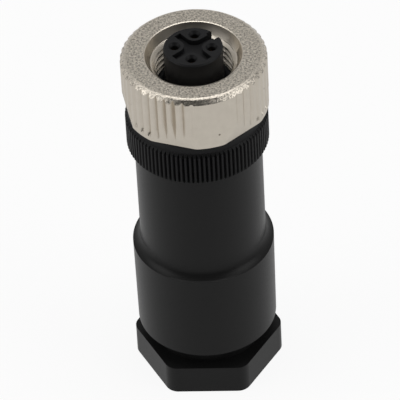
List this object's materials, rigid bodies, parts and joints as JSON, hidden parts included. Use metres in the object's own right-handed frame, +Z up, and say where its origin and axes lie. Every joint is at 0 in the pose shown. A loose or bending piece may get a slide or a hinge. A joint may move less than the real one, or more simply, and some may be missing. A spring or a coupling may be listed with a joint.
{
  "type": "m12 cable connector",
  "caption": "Straight field-wired cable socket with a knurled coupling nut, screw terminals and a hexagonal cable gland.",
  "frame": {"origin": "centre of the hexagon's lower face, on the axis of all the round pieces", "axes": "+Z up along the axis, from the cable entry to the socket face; -Y towards the hexagon's front flat"},
  "size_m": [0.0212, 0.0208, 0.0583],
  "materials": {
    "nickel_zinc": "nickel-plated zinc die casting, satin sides and a grainy top face",
    "spring_steel": "bright spring steel",
    "seal_rubber": "smooth black nitrile rubber",
    "carrier_plastic": "moulded black polyamide, matt",
    "housing_plastic": "moulded black polyamide, satin",
    "gilt_brass": "turned brass, gold plated",
    "bronze_strip": "rolled bronze strip",
    "screw_steel": "nickel-plated steel"
  },
  "bodies": {
    "sleeve": {"housing_sleeve": "housing_plastic"},
    "carrier_ring": {"carrier_seal": "seal_rubber"},
    "carrier": {"contact_carrier": "carrier_plastic", "front_seal": "seal_rubber", "contact_1": "gilt_brass", "contact_2": "gilt_brass", "contact_3": "gilt_brass", "contact_4": "gilt_brass"},
    "nut_ring": {"nut_retaining_ring": "spring_steel"},
    "nut": {"coupling_nut": "nickel_zinc"},
    "gland_cage": {"clamping_cage": "carrier_plastic", "cable_seal": "seal_rubber"},
    "gland_screw": {"pressing_screw": "housing_plastic"},
    "saddle_1": {"wire_saddle_1": "bronze_strip"},
    "screw_1": {"terminal_screw_1": "screw_steel"},
    "saddle_2": {"wire_saddle_2": "bronze_strip"},
    "screw_2": {"terminal_screw_2": "screw_steel"},
    "saddle_3": {"wire_saddle_3": "bronze_strip"},
    "screw_3": {"terminal_screw_3": "screw_steel"},
    "saddle_4": {"wire_saddle_4": "bronze_strip"},
    "screw_4": {"terminal_screw_4": "screw_steel"}
  },
  "joints": [
    {"name": "carrier_lift", "type": "slide", "parent": "sleeve", "child": "carrier_ring", "axis": [0, 0, 1], "range_m": [0, 0.0045]},
    {"name": "carrier_turn", "type": "hinge", "parent": "carrier_ring", "child": "carrier", "pos_m": [0, 0, 0.0389], "axis": [0, 0, 1], "range_deg": [0, 1620]},
    {"name": "nut_float", "type": "slide", "parent": "carrier", "child": "nut_ring", "axis": [0, 0, 1], "range_m": [0, 0.001]},
    {"name": "nut_turn", "type": "hinge", "parent": "nut_ring", "child": "nut", "pos_m": [0, 0, 0.0526], "axis": [0, 0, 1], "continuous": true},
    {"name": "gland_lift", "type": "slide", "parent": "sleeve", "child": "gland_cage", "axis": [0, 0, 1], "range_m": [-0.00525, 0.0027]},
    {"name": "gland_turn", "type": "hinge", "parent": "gland_cage", "child": "gland_screw", "pos_m": [0, 0, 0.007], "axis": [0, 0, 1], "range_deg": [-1260, 648]},
    {"name": "saddle_press_1", "type": "slide", "parent": "carrier", "child": "saddle_1", "axis": [0.993, -0.1184, 0], "range_m": [-0.0008, 0]},
    {"name": "screw_turn_1", "type": "hinge", "parent": "saddle_1", "child": "screw_1", "pos_m": [0.00546, -0.00065, 0.03265], "axis": [0.993, -0.1184, 0], "range_deg": [-720, 0]},
    {"name": "saddle_press_2", "type": "slide", "parent": "carrier", "child": "saddle_2", "axis": [0.1184, 0.993, 0], "range_m": [-0.0008, 0]},
    {"name": "screw_turn_2", "type": "hinge", "parent": "saddle_2", "child": "screw_2", "pos_m": [0.00065, 0.00546, 0.03265], "axis": [0.1184, 0.993, 0], "range_deg": [-720, 0]},
    {"name": "saddle_press_3", "type": "slide", "parent": "carrier", "child": "saddle_3", "axis": [-0.993, 0.1184, 0], "range_m": [-0.0008, 0]},
    {"name": "screw_turn_3", "type": "hinge", "parent": "saddle_3", "child": "screw_3", "pos_m": [-0.00546, 0.00065, 0.03265], "axis": [-0.993, 0.1184, 0], "range_deg": [-720, 0]},
    {"name": "saddle_press_4", "type": "slide", "parent": "carrier", "child": "saddle_4", "axis": [-0.1184, -0.993, 0], "range_m": [-0.0008, 0]},
    {"name": "screw_turn_4", "type": "hinge", "parent": "saddle_4", "child": "screw_4", "pos_m": [-0.00065, -0.00546, 0.03265], "axis": [-0.1184, -0.993, 0], "range_deg": [-720, 0]}
  ],
  "couplings": [
    {"joint": "carrier_turn", "follows": "carrier_lift", "rad_per_m": 6283},
    {"joint": "gland_turn", "follows": "gland_lift", "rad_per_m": 4188},
    {"joint": "screw_turn_1", "follows": "saddle_press_1", "rad_per_m": 15700},
    {"joint": "screw_turn_2", "follows": "saddle_press_2", "rad_per_m": 15700},
    {"joint": "screw_turn_3", "follows": "saddle_press_3", "rad_per_m": 15700},
    {"joint": "screw_turn_4", "follows": "saddle_press_4", "rad_per_m": 15700}
  ]
}
